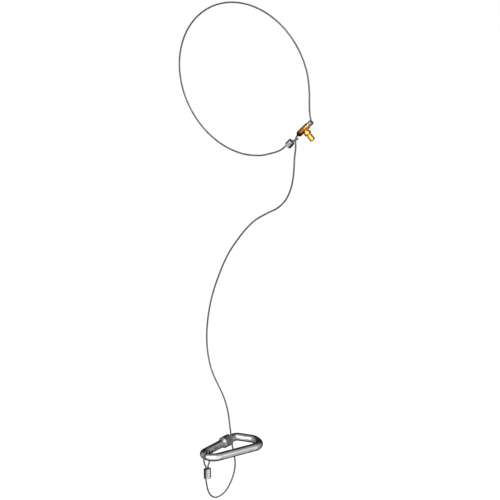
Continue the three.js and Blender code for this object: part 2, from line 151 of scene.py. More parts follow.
GRIPPER = frame_of(screw_axis, gripper_axis, screw_axis.cross(gripper_axis), GRIPPER_FOOT)
SCREW_LINE = GRIPPER @ Matrix.Translation((0, SCREW_STATION, 0)) @ Z_TO_X
UPPER_CRIMP = frame_of(
    upper_ferrule_across,
    upper_ferrule_axis.cross(upper_ferrule_across),
    upper_ferrule_axis,
    UPPER_FERRULE_CENTRE,
)
LOWER_CRIMP = (
    WORLD @ Matrix.Translation(LOWER_FERRULE_CENTRE) @ Matrix.Rotation(LOWER_FERRULE_TURN, 4, "Z")
)
CARABINER = (
    WORLD
    @ Matrix.Translation(CARABINER_SEAT)
    @ Matrix.Rotation(CARABINER_TILT, 4, TILT_AXIS)
    @ Matrix.Rotation(CARABINER_YAW, 4, "Z")
)
GATE_IN_CARABINER = Matrix.Translation(HINGE) @ Matrix.Rotation(GATE_ANGLE, 4, "Z")
GATE = CARABINER @ GATE_IN_CARABINER


# ---------- mesh tools ----------
def mesh_object(name, points, faces):
    mesh = bpy.data.meshes.new(name)
    mesh.from_pydata([tuple(p) for p in points], [], faces)
    mesh.validate()
    piece = bpy.data.objects.new(name, mesh)
    bpy.context.scene.collection.objects.link(piece)
    return piece


def tidy(piece):
    """Joins points that coincide, drops what that flattens, and turns every face outwards."""
    work = bmesh.new()
    work.from_mesh(piece.data)
    bmesh.ops.remove_doubles(work, verts=work.verts, dist=1e-5)
    bmesh.ops.dissolve_degenerate(work, edges=work.edges, dist=1e-6)
    bmesh.ops.recalc_face_normals(work, faces=work.faces)
    work.to_mesh(piece.data)
    work.free()
    return piece


def skin_faces(count, sides, around=False):
    """Faces between that many rings of points, with a cap at each end, or joined end to start."""
    faces = []
    for ring in range(count if around else count - 1):
        low, high = ring * sides, ((ring + 1) % count) * sides
        for side in range(sides):
            after = (side + 1) % sides
            faces.append((low + side, low + after, high + after, high + side))
    if not around:
        faces.append(tuple(range(sides))[::-1])
        faces.append(tuple(range((count - 1) * sides, count * sides)))
    return faces


def loft(name, rings, around=False):
    """A skin over rings of points, capped at both ends, or joined end to start."""
    rings = np.asarray(rings, float)
    count, sides = rings.shape[:2]
    return tidy(mesh_object(name, rings.reshape(-1, 3), skin_faces(count, sides, around)))


def rounded(outline, radius, steps=4):
    """The closed outline of (radius, station) points again, with each corner turned on a small curve."""
    made = []
    count = len(outline)
    for index, corner in enumerate(outline):
        corner = Vector(corner)
        back = Vector(outline[index - 1]) - corner
        ahead = Vector(outline[(index + 1) % count]) - corner
        if corner.x < 1e-6 or back.length < 1e-6 or ahead.length < 1e-6:
            made.append(corner)
            continue
        half = back.angle(ahead) / 2
        reach = min(radius / math.tan(half), 0.45 * back.length, 0.45 * ahead.length)
        start = corner + back.normalized() * reach
        end = corner + ahead.normalized() * reach
        for step in range(steps + 1):
            t = step / steps
            made.append(start * (1 - t) ** 2 + corner * (2 * t * (1 - t)) + end * t**2)
    return made


def lathe(name, outline, edge=0.25, sides=96):
    """A solid of revolution about Z from a closed outline of (radius, station) points."""
    profile = rounded(outline, edge)
    rings = []
    for side in range(sides):
        angle = math.tau * side / sides
        rings.append([(p.x * math.cos(angle), p.x * math.sin(angle), p.y) for p in profile])
    return loft(name, rings, around=True)


def block(low, high):
    """A plain box between two corners, for cutting and joining."""
    corners = [(x, y, z) for x in (low[0], high[0]) for y in (low[1], high[1]) for z in (low[2], high[2])]
    faces = [(0, 1, 3, 2), (4, 6, 7, 5), (0, 4, 5, 1), (2, 3, 7, 6), (0, 2, 6, 4), (1, 5, 7, 3)]
    return tidy(mesh_object("tool", corners, faces))


def rod(radius, low, high, sides=48):
    """A plain cylinder along Z, for cutting and joining."""
    return lathe("tool", [(0, low), (radius, low), (radius, high), (0, high)], edge=0, sides=sides)


def moved(piece, matrix):
    piece.data.transform(matrix)
    return piece


def apply_modifiers(piece):
    bpy.context.view_layer.update()
    shown = piece.evaluated_get(bpy.context.evaluated_depsgraph_get())
    mesh = bpy.data.meshes.new_from_object(shown)
    piece.modifiers.clear()
    piece.data = mesh
    return piece


def combine(piece, operation, tools):
    """Cuts, joins or keeps the shared part with each tool, and uses the tools up."""
    for tool in tools:
        step = piece.modifiers.new("combine", "BOOLEAN")
        step.operation = operation
        step.solver = "EXACT"
        step.object = tool
    apply_modifiers(piece)
    for tool in tools:
        bpy.data.objects.remove(tool)
    return piece


def soften(piece, width, angle=35):
    """Breaks the sharp edges that cutting leaves."""
    bevel = piece.modifiers.new("soften", "BEVEL")
    bevel.width = width
    bevel.segments = 2
    bevel.limit_method = "ANGLE"
    bevel.angle_limit = math.radians(angle)
    apply_modifiers(piece)
    return tidy(piece)


def smooth(piece, angle=32):
    piece.data.shade_smooth()
    piece.data.set_sharp_from_angle(angle=math.radians(angle))


def put(piece, matrix, body, nodes, material, angle=32):
    """Sets the piece down in the row frame, on its body, in place of its CAD nodes."""
    piece.data.transform(matrix)
    smooth(piece, angle)
    piece.data.materials.clear()
    piece.data.materials.append(material)
    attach(piece, body)
    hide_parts(*nodes)
    return piece


# ---------- materials ----------
SCRATCH_GRAIN = 900.0


def node(tree, kind, **values):
    """A new node, with its sockets or else its properties set by name."""
    made = tree.nodes.new(kind)
    for name, value in values.items():
        if name in made.inputs:
            made.inputs[name].default_value = value
        else:
            setattr(made, name, value)
    return made


def ramp(tree, source, stops):
    made = tree.nodes.new("ShaderNodeValToRGB")
    ends = made.color_ramp.elements
    ends[0].position, ends[0].color = stops[0][0], (*stops[0][1], 1)
    ends[1].position, ends[1].color = stops[-1][0], (*stops[-1][1], 1)
    for place, colour in stops[1:-1]:
        ends.new(place).color = (*colour, 1)
    tree.links.new(source, made.inputs["Fac"])
    return made.outputs["Color"]


def grey(value):
    return (value, value, value)


def blended(tree, share, colour, other):
    """The colour, given over to the other one by that share."""
    mix = node(tree, "ShaderNodeMix", data_type="RGBA")
    tree.links.new(share, mix.inputs[0])
    tree.links.new(colour, mix.inputs[6])
    mix.inputs[7].default_value = (*other, 1)
    return mix.outputs[2]


def scratched(tree, shader, place, rough, depth):
    """Uneven polish and fine scratches, the long ones all lying one way."""
    stretch = node(tree, "ShaderNodeMapping", Scale=(1.0, 1.0, 0.12), Rotation=(0.5, 0.9, 0.3))
    tree.links.new(place, stretch.inputs["Vector"])
    streak = node(tree, "ShaderNodeTexNoise", Scale=SCRATCH_GRAIN * 2.2, Detail=3.0, Roughness=0.7)
    tree.links.new(stretch.outputs["Vector"], streak.inputs["Vector"])
    fine = node(tree, "ShaderNodeTexNoise", Scale=SCRATCH_GRAIN, Detail=4.0, Roughness=0.65)
    tree.links.new(place, fine.inputs["Vector"])

    polish = node(tree, "ShaderNodeMapRange")
    polish.inputs["From Min"].default_value = 0.3
    polish.inputs["From Max"].default_value = 0.7
    polish.inputs["To Min"].default_value = rough * 0.8
    polish.inputs["To Max"].default_value = rough * 1.25
    tree.links.new(fine.outputs["Fac"], polish.inputs["Value"])
    tree.links.new(polish.outputs["Result"], shader.inputs["Roughness"])

    height = node(tree, "ShaderNodeMath", operation="ADD")
    tree.links.new(streak.outputs["Fac"], height.inputs[0])
    tree.links.new(fine.outputs["Fac"], height.inputs[1])
    bump = node(tree, "ShaderNodeBump", Strength=depth, Distance=0.0002)
    tree.links.new(height.outputs["Value"], bump.inputs["Height"])
    tree.links.new(bump.outputs["Normal"], shader.inputs["Normal"])


def worn_metal(name, dark, light, rough, mottle, edge=None, scratch=0.12):
    """Metal with mottled colour and polish, fine scratches, and edges rubbed to another colour."""
    material = bpy.data.materials.new(name)
    material.use_nodes = True
    tree = material.node_tree
    tree.nodes.clear()
    out = node(tree, "ShaderNodeOutputMaterial")
    shader = node(tree, "ShaderNodeBsdfPrincipled", Metallic=1.0)
    tree.links.new(shader.outputs["BSDF"], out.inputs["Surface"])
    place = node(tree, "ShaderNodeTexCoord").outputs["Object"]

    blotch = node(tree, "ShaderNodeTexNoise", Scale=mottle, Detail=5.0, Roughness=0.6)
    tree.links.new(place, blotch.inputs["Vector"])
    colour = ramp(tree, blotch.outputs["Fac"], [(0.3, dark), (0.7, light)])
    if edge is not None:
        shape = node(tree, "ShaderNodeNewGeometry")
        rubbed = ramp(tree, shape.outputs["Pointiness"], [(0.52, grey(0)), (0.60, grey(0.8))])
        colour = blended(tree, rubbed, colour, edge)
    tree.links.new(colour, shader.inputs["Base Color"])
    scratched(tree, shader, place, rough, scratch)
    return material


def shader_of(material):
    return next(item for item in material.node_tree.nodes if item.type == "BSDF_PRINCIPLED")


def metal_with_painted_side_shade(name, dark, light, rough, painted_shade_tone):
    """Alloy in its own pale mottled colour, with painted shade: the outer sides of its barrels go near-black.
    """
    material = worn_metal(name, dark, light, rough, mottle=220.0, edge=light)
    tree = material.node_tree
    base = shader_of(material).inputs["Base Color"]
    # Painted shade: points far out across the barrels take the near-black side tone, with a speckled border.
    off = node(tree, "ShaderNodeAttribute", attribute_name="across_for_painted_shade")
    speckle = node(tree, "ShaderNodeTexNoise", Scale=SCRATCH_GRAIN, Detail=3.0)
    tree.links.new(node(tree, "ShaderNodeTexCoord").outputs["Object"], speckle.inputs["Vector"])
    ragged = node(tree, "ShaderNodeMath", operation="MULTIPLY_ADD")
    ragged.inputs[1].default_value = 0.12
    tree.links.new(speckle.outputs["Fac"], ragged.inputs[0])
    tree.links.new(off.outputs["Fac"], ragged.inputs[2])
    share = ramp(tree, ragged.outputs["Value"], [(0.46, grey(0)), (0.70, grey(1))])
    tree.links.new(blended(tree, share, base.links[0].from_socket, painted_shade_tone), base)
    return material


def wire_metal(name, dark, light, rough):
    """Drawn wire: patches of duller zinc along the rope, and each strand's wires side by side round it."""
    material = worn_metal(name, dark, light, rough, mottle=45.0, scratch=0.1)
    tree = material.node_tree
    scratches = shader_of(material).inputs["Normal"].links[0].from_node
    lay = node(tree, "ShaderNodeAttribute", attribute_name="round_the_rope")
    turns = node(tree, "ShaderNodeMath", operation="MULTIPLY")
    turns.inputs[1].default_value = WIRES_ROUND
    tree.links.new(lay.outputs["Fac"], turns.inputs[0])
    wave = node(tree, "ShaderNodeMath", operation="SINE")
    tree.links.new(turns.outputs["Value"], wave.inputs[0])
    wires = node(tree, "ShaderNodeBump", Strength=0.6, Distance=0.0001)
    tree.links.new(wave.outputs["Value"], wires.inputs["Height"])
    tree.links.new(wires.outputs["Normal"], scratches.inputs["Normal"])
    return material


rope_steel = wire_metal("galvanised_wire", (0.15, 0.15, 0.147), (0.27, 0.27, 0.264), 0.36)
# The ferrules' barrel sides are painted near-black as shade; their middles keep the alloy's own colour.
ferrule_metal = metal_with_painted_side_shade(
    "alloy_with_painted_side_shade", (0.58, 0.58, 0.62), (0.76, 0.76, 0.80), 0.22, painted_shade_tone=(0.07, 0.075, 0.085)
)
brass = worn_metal(
    "gold_anodised_brass", (0.56, 0.21, 0.015), (0.86, 0.40, 0.05), 0.23, mottle=120, edge=(0.90, 0.48, 0.12)
)
# A near-black copy of the brass: painted shade for the gripper's shadowed foot, used on the end cap and the
# clamp pad.
shade_painted_brass = worn_metal(
    "brass_painted_as_shade", (0.022, 0.008, 0.004), (0.06, 0.024, 0.012), 0.34, mottle=260,
    edge=(0.22, 0.10, 0.05),
)
plunger_steel = worn_metal(
    "turned_plunger_steel", (0.80, 0.77, 0.74), (0.94, 0.90, 0.86), 0.16, mottle=200,
    edge=(0.97, 0.95, 0.93),
)
carabiner_steel = worn_metal(
    "polished_forging", (0.52, 0.53, 0.54), (0.66, 0.67, 0.68), 0.17, mottle=90, edge=(0.85, 0.86, 0.87)
)
sleeve_steel = worn_metal(
    "knurled_sleeve_steel", (0.26, 0.26, 0.27), (0.42, 0.42, 0.43), 0.30, mottle=180, edge=(0.60, 0.60, 0.61)
)
ring_steel = worn_metal(
    "bright_ring_steel", (0.72, 0.73, 0.74), (0.86, 0.87, 0.88), 0.16, mottle=140, edge=(0.95, 0.95, 0.96)
)
inner_steel = worn_metal(
    "oiled_inner_steel", (0.30, 0.30, 0.31), (0.46, 0.46, 0.47), 0.30, mottle=200, edge=(0.7, 0.7, 0.71)
)


# ---------- camera ----------
CAMERA_PLACE = Vector((2.35643, -3.36333, 1.28226))
CAMERA_AIM = Vector((0.01324, 0, -0.43035))
CAMERA_LENS = 189.4


def make_camera():
    data = bpy.data.cameras.new("camera")
    data.lens = CAMERA_LENS
    data.sensor_width = 36.0
    data.clip_start = 0.1
    data.clip_end = 60.0
    camera = bpy.data.objects.new("camera", data)
    camera.location = CAMERA_PLACE
    camera.rotation_mode = "QUATERNION"
    camera.rotation_quaternion = (CAMERA_AIM - CAMERA_PLACE).to_track_quat("-Z", "Y")
    bpy.context.scene.collection.objects.link(camera)
    bpy.context.scene.camera = camera


make_camera()


# ---------- wire rope ----------
def on_gripper(station):
    return GRIPPER_FOOT + gripper_axis * station


def on_upper_ferrule(station, side):
    off = upper_ferrule_across * (side * UPPER_FERRULE["spread"])
    return UPPER_FERRULE_CENTRE + upper_ferrule_axis * station + off


def on_lower_ferrule(station, side):
    off = lower_ferrule_across * (side * LOWER_FERRULE["spread"])
    return LOWER_FERRULE_CENTRE + Vector((0, 0, station)) + off


def on_loop(degrees):
    angle = math.radians(degrees)
    return LOOP_CENTRE + Vector((LOOP_RADIUS * math.cos(angle), 0, LOOP_RADIUS * math.sin(angle)))


def rope_route():
    """The whole rope in one run, from its tail in the upper crimp to its tail in the lower one, in metres."""
    upper_side = [(98.7, 2.5, -217.6), (100.9, 3.4, -216), (103.4, 3.5, -214.6), (105.6, 2.2, -213.5)]
    upper_eye = [on_upper_ferrule(station, 1) for station in (-8, -3, 2, 6.5)]
    upper_eye += upper_side + [(106.5, 0, -213)]
    upper_eye += [(x, -y, z) for x, y, z in reversed(upper_side)]
    upper_eye += [on_upper_ferrule(station, -1) for station in (6.5, 2, -3, -8)]

    top_loop = [(76.3, 0, -236.7), (68.7, 0, -242), (61, 0, -246), (52.1, 0, -250)]
    top_loop += [on_loop(degrees) for degrees in range(285, -1, -15)]
    top_loop += [(129.3, 0, -144.9), (129.8, 0, -158)]

    through_gripper = [
        (130.2, 0, -161.6), (130.6, 0, -165), (131.2, 0, -168.4), (131.8, 0, -171.1), (132.3, 0, -172.9),
        (132.5, 0, -174.4), (132.3, 0, -175.9), (131.6, 0, -177.8), (130.8, 0, -179.7), (129.7, 0, -181.7),
    ]
    through_gripper += [on_gripper(station) for station in (32.5, 26, 20, 10, 4)]
    through_gripper += [(106, 0, -207.3), (104.3, 0, -209.8), (103.2, 0, -213.6)]
    through_gripper += [(102.9, 0, -218), (103, 0, -223)]

    drop_points = [
        (103.2, -229), (101.1, -247), (100.3, -265), (98.3, -285), (93.3, -305.2),
        (83.6, -325.8), (67.3, -343.6), (44.8, -358.8), (21.8, -376.2), (1, -399.1),
        (-14.9, -421), (-29, -442.8), (-40.7, -465.2), (-52.9, -494.1), (-64, -525),
        (-72.1, -554.9), (-77.2, -584.9), (-79.6, -616.9), (-77.8, -644.8), (-72.7, -668.8),
        (-65.4, -686.9), (-55.6, -703.3), (-45.8, -719.5), (-38.5, -736.9), (-33.9, -755.4),
        (-31.2, -774.3), (-28.7, -793),
    ]
    drop = [(x, 0, z) for x, z in drop_points]

    noose = [
        (-26.1, 0, -811), (-24.5, 0, -821), (-22.9, 1.8, -833), (-22, 3, -848), (-22.6, 2, -860),
        (-24.2, -0.6, -872), (-27, -5.6, -885.2), (-31, -12.4, -897.4), (-35.9, -20, -904.6),
        (-41.7, -28.8, -907.2), (-46, -36, -902.2), (-48.5, -40.6, -893), (-50.2, -42.8, -882),
    ]
    noose += [on_lower_ferrule(station, -1) for station in (-13, -6, 2, 9.7)]

    eye_middle = -43.5
    lower_side = [(2.5, -844), (4.7, -839.8), (7.3, -835), (9, -829.2), (9.2, -820.6), (6.4, -814.6)]
    lower_eye = [(-49.3, eye_middle - y, z) for y, z in lower_side] + [(-49.3, eye_middle, -811.9)]
    lower_eye += [(-49.3, eye_middle + y, z) for y, z in reversed(lower_side)]
    lower_eye += [on_lower_ferrule(station, 1) for station in (9.7, 2, -6, -11.5)]

    corners = upper_eye + top_loop + through_gripper + drop + noose + lower_eye
    return np.array([tuple(Vector(p) + HANG) for p in corners]) * MM


def smooth_line(corners, spacing):
    """A centripetal Catmull-Rom curve through the corners, with points that far apart."""
    first = 2 * corners[0] - corners[1]
    last = 2 * corners[-1] - corners[-2]
    p = np.vstack([first, corners, last])
    knots = np.concatenate([[0], np.cumsum(np.sqrt(np.linalg.norm(np.diff(p, axis=0), axis=1)))])
    dense = []
    for i in range(1, len(p) - 2):
        t0, t1, t2, t3 = knots[i - 1 : i + 3]
        t = np.linspace(t1, t2, 24, endpoint=False)[:, None]
        a1 = (t1 - t) / (t1 - t0) * p[i - 1] + (t - t0) / (t1 - t0) * p[i]
        a2 = (t2 - t) / (t2 - t1) * p[i] + (t - t1) / (t2 - t1) * p[i + 1]
        a3 = (t3 - t) / (t3 - t2) * p[i + 1] + (t - t2) / (t3 - t2) * p[i + 2]
        b1 = (t2 - t) / (t2 - t0) * a1 + (t - t0) / (t2 - t0) * a2
        b2 = (t3 - t) / (t3 - t1) * a2 + (t - t1) / (t3 - t1) * a3
        dense.append((t2 - t) / (t2 - t1) * b1 + (t - t1) / (t2 - t1) * b2)
    dense = np.vstack([*dense, corners[-1:]])
    along = np.concatenate([[0], np.cumsum(np.linalg.norm(np.diff(dense, axis=0), axis=1))])
    at = np.linspace(0, along[-1], math.ceil(along[-1] / spacing) + 1)
    return np.stack([np.interp(at, along, dense[:, k]) for k in range(3)], axis=1), at


def carried_frames(line):
    """Two directions across the line at each point, carried along it without twist."""
    tangents = np.gradient(line, axis=0)
    tangents /= np.linalg.norm(tangents, axis=1)[:, None]
    across = np.cross(tangents[0], (0, 0, 1))
    firsts = []
    for tangent in tangents:
        across = across - tangent * (across @ tangent)
        across /= np.linalg.norm(across)
        firsts.append(across)
    firsts = np.array(firsts)
    return firsts, np.cross(tangents, firsts)


def strand_outline():
    """One turn round the rope, strand, groove, strand and so on, as (angle, radius) in millimetres."""
    strand = ROPE_DIAMETER / 6
    outline = []
    for index in range(STRANDS * STRAND_POINTS):
        angle = math.tau * index / (STRANDS * STRAND_POINTS)
        off = (angle + math.pi / STRANDS) % (math.tau / STRANDS) - math.pi / STRANDS
        rise = strand**2 - (2 * strand * math.sin(off)) ** 2
        crown = 2 * strand * math.cos(off) + math.sqrt(max(0.0, rise))
        outline.append((angle, max(crown, GROOVE_RADIUS)))
    return outline


def wire_rope():
    """Six strands laid round a core, as one closed skin that turns with its strands."""
    line, along = smooth_line(rope_route(), ROPE_STEP * MM)
    first, second = carried_frames(line)
    twist = math.tau * along / (ROPE_LAY * MM)
    outline = strand_outline()
    rings = np.empty((len(line), len(outline), 3))
    for column, (angle, radius) in enumerate(outline):
        turned = (angle + twist)[:, None]
        rings[:, column] = line + radius * MM * (np.cos(turned) * first + np.sin(turned) * second)
    piece = mesh_object("wire_rope", rings.reshape(-1, 3), skin_faces(len(line), len(outline)))
    lay = piece.data.attributes.new("round_the_rope", "FLOAT", "POINT")
    fixed = np.array([angle for angle, _ in outline])[None, :] + twist[:, None]
    lay.data.foreach_set("value", fixed.reshape(-1))
    nodes = (
        "top_loop_cable", "gripper_cable", "drop_cable",
        "lower_noose_cable", "upper_eye_cable", "lower_eye_cable",
    )
    put(piece, Matrix.Identity(4), "root", nodes, rope_steel, angle=75)
    return piece


wire_rope()


# ---------- crimped ferrules ----------
FERRULE_END_ROUND = 0.6
BAND_HALF = 1.15
BAND_PRESSED = 0.03
BAND_SPREAD = 0.012
WAIST_HALF = 1.5
WAIST_PRESSED = 0.08
BORE_PLAY = 0.08


def ferrule_ring(size, station, bands):
    """One section of a twin-barrel sleeve, pressed in at its bands and in the waist between its barrels."""
    inset = max(0.0, abs(station) - (size["length"] / 2 - FERRULE_END_ROUND))
    shrink = FERRULE_END_ROUND - math.sqrt(max(0.0, FERRULE_END_ROUND**2 - inset**2))
    radius = size["radius"] - shrink
    pressed = sum(math.exp(-(((station - place) / BAND_HALF) ** 4)) for place in bands)
    ring = []
    for side in range(72):
        angle = math.tau * side / 72
        x = math.copysign(size["spread"], math.cos(angle)) * min(1, abs(math.cos(angle)) * 3)
        x += radius * math.cos(angle)
        waist = 1 - WAIST_PRESSED * math.exp(-((x / WAIST_HALF) ** 2))
        y = radius * math.sin(angle) * waist * (1 - BAND_PRESSED * pressed)
        ring.append((x * (1 + BAND_SPREAD * pressed), y, station))
    return ring


def ferrule(name, size, matrix, bands, node_name):
    """A twin-barrel sleeve with a rope bore down each barrel."""
    half, radius, spread = size["length"] / 2, size["radius"], size["spread"]
    piece = loft(name, [ferrule_ring(size, station, bands) for station in np.linspace(-half, half, 61)])
    bores = [
        moved(rod(ROPE_DIAMETER / 2 + BORE_PLAY, -half - 1, half + 1), Matrix.Translation((offset, 0, 0)))
        for offset in (-spread, spread)
    ]
    combine(piece, "DIFFERENCE", bores)
    # How far across the barrels each point lies; the material paints shade on the barrels' outer sides from
    # it.
    spots = np.array([tuple(vertex.co) for vertex in piece.data.vertices])
    sides = piece.data.attributes.new("across_for_painted_shade", "FLOAT", "POINT")
    sides.data.foreach_set("value", np.abs(spots[:, 0]) / (spread + radius))
    return put(piece, matrix, "root", [node_name], ferrule_metal)


ferrule("upper_crimp", UPPER_FERRULE, UPPER_CRIMP, (-2.9, 0, 2.9), "upper_ferrule")
ferrule("lower_crimp", LOWER_FERRULE, LOWER_CRIMP, (-5.3, 0, 5.3), "lower_ferrule")


# ---------- cable gripper ----------
def gripper_body():
    """The brass shell: a ring groove near its mouth, a tapered bore for the balls, a hole for the bush."""
    groove = BODY_RADIUS - 0.35
    shell = lathe("brass_body", [
        (4.4, BODY_START), (5, BODY_START), (BODY_RADIUS, BODY_START + 0.3), (BODY_RADIUS, 25.4),
        (groove, 25.8), (groove, 27.0), (BODY_RADIUS, 27.4), (BODY_RADIUS, BODY_END - 0.8),
        (4.6, BODY_END), (BODY_BORE, BODY_END), (BODY_BORE, WEDGE_TOP), (3.6, WEDGE_TOP),
    ], edge=0.3, sides=128)
    moved(shell, Z_TO_Y)
    cross_hole = moved(rod(BUSH["hole"], 0, 8), Matrix.Translation((0, SCREW_STATION, 0)) @ Z_TO_X)
    combine(shell, "DIFFERENCE", [cross_hole])
    soften(shell, 0.15)
    return put(shell, GRIPPER, "root", ["gripper_body"], brass)


def end_cap():
    """The screwed-on foot: a taper, a ring groove and two spanner flats, with a cup for the cage spring."""
    seat, seat_floor = SPRING_SEAT["radius"], SPRING_SEAT["floor"]
    cap = lathe("tapered_end_cap", [
        (ROPE_BORE, CAP_START), (3, CAP_START), (4.3, 4.7), (4.5, 4.85), (CAP_RADIUS, 5.9),
        (CAP_RADIUS, 9.6), (4.8, 9.8), (4.8, 10.3), (CAP_RADIUS, 10.5), (CAP_RADIUS, CAP_SHOULDER),
        (4.2, CAP_SHOULDER), (4.2, CAP_TOP), (seat, CAP_TOP), (seat, seat_floor), (ROPE_BORE, seat_floor),
    ], edge=0.2)
    moved(cap, Z_TO_Y)
    start, end = SPANNER_FLAT["start"], SPANNER_FLAT["end"]
    flat = SPANNER_SIZE / 2
    flats = [block((-8, start, side * (flat + 2) - 2), (8, end, side * (flat + 2) + 2)) for side in (-1, 1)]
    combine(cap, "DIFFERENCE", flats)
    soften(cap, 0.12)
    # The end cap takes the near-black brass, painted shade for the gripper's shadowed foot.
    return put(cap, GRIPPER, "root", ["gripper_end_cap"], shade_painted_brass)


def plunger():
    """The release nozzle: a stem with a window for the clamp pad, and a grooved head with a flared mouth."""
    foot, stem, shoulder = PLUNGER["foot"], PLUNGER["stem"], PLUNGER["shoulder"]
    head, mouth, end = PLUNGER["head"], PLUNGER["mouth"], GRIPPER_LENGTH
    turned = lathe("release_nozzle", [
        (ROPE_BORE, foot), (3.3, foot), (3.3, foot + 1), (stem, foot + 1), (stem, shoulder),
        (head - 0.5, shoulder), (head, shoulder + 0.5), (head, 34.0), (head - 0.25, 34.2),
        (head - 0.25, 34.7), (head, 34.9), (head, end - 0.3), (head - 0.1, end), (mouth, end),
        (ROPE_BORE, 31.5),
    ], edge=0.15)
    moved(turned, Z_TO_Y)
    pad_window = block((0.5, 19.2, -1.3), (5, 24, 1.3))
    combine(turned, "DIFFERENCE", [pad_window])
    return put(turned, GRIPPER, "plunger", ["release_plunger"], plunger_steel)


def side_bush():
    """The collar the lock screw runs in: a threaded neck, a shoulder and a wide rim."""
    start, end, rim, bore = BUSH["start"], BUSH["end"], BUSH["radius"], BUSH["bore"]
    bush = lathe("threaded_side_bush", [
        (bore, start), (3.6, start), (3.6, 5.6), (4.9, 5.6), (4.9, 7.2), (rim - 0.6, 7.2),
        (rim, 7.8), (rim, end - 0.6), (rim - 0.6, end), (bore, end),
    ])
    return put(bush, SCREW_LINE, "root", ["side_bush"], brass)


def lock_screw():
    """The clamping screw: a threaded nose, a barrel with two turned grooves, and a driver slot in its end."""
    start, end, barrel, stem = SCREW["start"], SCREW["end"], SCREW["radius"], SCREW["stem"]
    screw = lathe("lock_screw_barrel", [
        (0, start), (1, start), (1, 5.2), (stem, 5.6), (stem, 12.6), (barrel - 0.5, 12.6),
        (barrel, 13.1), (barrel, 14.2), (barrel - 0.3, 14.4), (barrel - 0.3, 15.0), (barrel, 15.2),
        (barrel, 20.8), (barrel - 0.25, 21.0), (barrel - 0.25, 21.4), (barrel, 21.6),
        (barrel, end - 0.8), (barrel - 0.7, end), (0, end),
    ])
    half_slot = SCREW["slot"] / 2
    slot = block((-half_slot, -6, end - 1.2), (half_slot, 6, end + 0.6))
    combine(screw, "DIFFERENCE", [slot])
    return put(screw, SCREW_LINE, "lock_screw", ["lock_screw"], brass)


def screw_pad():
    start, end, radius = PAD["start"], PAD["end"], PAD["radius"]
    pad = lathe("clamp_pad", [(0, start), (radius, start), (radius, end), (0, end)], edge=0.15, sides=32)
    return put(pad, SCREW_LINE, "screw_pad", ["screw_pad"], shade_painted_brass)


def ball_cage():
    """A ring round the rope with a pocket for each ball."""
    start, end, radius = CAGE["start"], CAGE["end"], CAGE["radius"]
    outline = [(ROPE_BORE, start), (radius, start), (radius, end), (ROPE_BORE, end)]
    ring = moved(lathe("ball_retainer", outline, edge=0.12, sides=64), Z_TO_Y)
    lift = Matrix.Translation((0, BALL_STATION, 0))
    pockets = [
        moved(rod(BALL_POCKET, 0.5, 4), lift @ Matrix.Rotation(angle, 4, "Y") @ Z_TO_X)
        for angle in BALL_ANGLES
    ]
    combine(ring, "DIFFERENCE", pockets)
    return put(ring, GRIPPER, "plunger", ["ball_cage"], brass)


def grip_balls():
    bands = 20
    slopes = [math.pi * band / bands for band in range(bands + 1)]
    outline = [(BALL_RADIUS * math.sin(slope), -BALL_RADIUS * math.cos(slope)) for slope in slopes]
    for index, angle in enumerate(BALL_ANGLES):
        ball = lathe(f"steel_ball_{index + 1}", outline, edge=0, sides=40)
        lift = Matrix.Translation((0, BALL_STATION, 0)) @ Matrix.Rotation(angle, 4, "Y")
        moved(ball, lift @ Matrix.Translation((BALL_CIRCLE, 0, 0)))
        put(ball, GRIPPER, "plunger", [f"grip_ball_{index + 1}"], inner_steel, angle=60)


def coil(name, size):
    """A compression spring of round wire about Z."""
    low, high, wire = size["low"], size["high"], size["wire"]
    steps = size["turns"] * 36
    share = np.arange(steps + 1) / steps
    angle = math.tau * size["turns"] * share
    outward = np.stack([np.cos(angle), np.sin(angle), 0 * angle], axis=1)
    line = outward * size["radius"]
    line[:, 2] = low + (high - low) * share
    tangents = np.gradient(line, axis=0)
    across = np.cross(tangents / np.linalg.norm(tangents, axis=1)[:, None], outward)
    wire_angles = math.tau * np.arange(12)[:, None] / 12
    rings = line[:, None] + wire * (
        np.cos(wire_angles) * outward[:, None] + np.sin(wire_angles) * across[:, None]
    )
    return loft(name, rings)


def cage_spring():
    """The spring under the ball cage, with a mesh of its own; the real one shortens by the nozzle's stroke.
    """
    spring = coil("cage_coil_spring", CAGE_SPRING)
    put(spring, GRIPPER @ Z_TO_Y, "root", ["cage_spring"], inner_steel, angle=60)
    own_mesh(spring)
    return spring


gripper_body()
end_cap()
plunger()
side_bush()
lock_screw()
screw_pad()
ball_cage()
grip_balls()
cage_spring()


# ---------- carabiner ----------
def on_gate_line(station):
    return HINGE + Vector((math.cos(GATE_ANGLE), math.sin(GATE_ANGLE), 0)) * station


def rounded_route(corners, step_degrees, step_length):
    """Points along a bent bar's middle: straight runs between corners, each on an arc of its own radius."""
    points = [corners[0][0]]
    for index in range(1, len(corners) - 1):
        corner, radius = corners[index]
        back = (corners[index - 1][0] - corner).normalized()
        ahead = (corners[index + 1][0] - corner).normalized()
        turn = math.pi - back.angle(ahead)
        centre = corner + (back + ahead).normalized() * (radius / math.cos(turn / 2))
        spoke = corner + back * (radius * math.tan(turn / 2)) - centre
        axis = ahead.cross(back).normalized()
        steps = math.ceil(math.degrees(turn) / step_degrees)
        for step in range(steps + 1):
            points.append(centre + Matrix.Rotation(turn * step / steps, 3, axis) @ spoke)
    points.append(corners[-1][0])
    line = [points[0]]
    for before, after in zip(points, points[1:]):
        pieces = max(1, math.ceil((after - before).length / step_length))
        line += [before.lerp(after, k / pieces) for k in range(1, pieces + 1)]
    return line


def bar_ring(point, outward, flat):
    """One round section of the bar, with its four sides rubbed down by that much of a flat's depth."""
    up = Vector((0, 0, 1))
    limit = ROD_RADIUS - SPINE_FLAT["depth"] * flat
    ring = []
    for side in range(64):
        angle = math.tau * side / 64
        height = max(-limit, min(limit, ROD_RADIUS * math.sin(angle)))
        across = max(-limit, min(limit, ROD_RADIUS * math.cos(angle)))
        ring.append(tuple(point + outward * across + up * height))
    return ring


